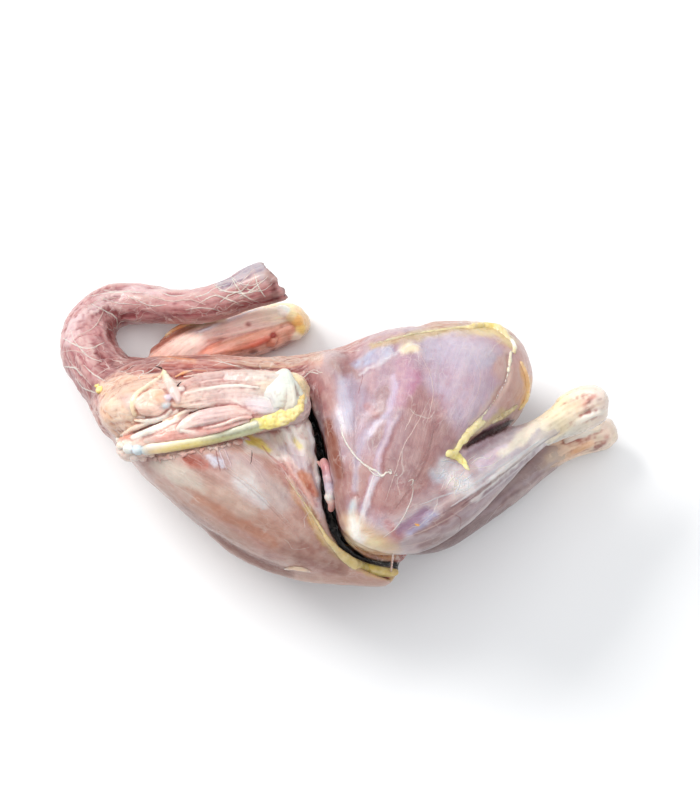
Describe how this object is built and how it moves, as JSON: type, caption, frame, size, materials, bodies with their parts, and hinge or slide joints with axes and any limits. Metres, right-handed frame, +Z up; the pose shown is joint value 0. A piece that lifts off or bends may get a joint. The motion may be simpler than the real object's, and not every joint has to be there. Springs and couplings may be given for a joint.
{
  "type": "whole raw chicken",
  "caption": "Whole raw chicken, skinless and dressed, with its neck looped back, folded wings and legs stretched out, lying on its side.",
  "frame": {"origin": "middle of the bird's bounding box, on the flat surface that the bird lies on", "axes": "+X from the head end towards the legs, +Y towards the back, +Z up, out of the left side"},
  "size_m": [0.2395, 0.138, 0.0935],
  "materials": {
    "raw_flesh": "wet raw flesh: pink and lilac muscle under thin whitish membrane, with yellow fat, glossy"
  },
  "bodies": {
    "root": {"chicken": "raw_flesh"}
  },
  "joints": []
}
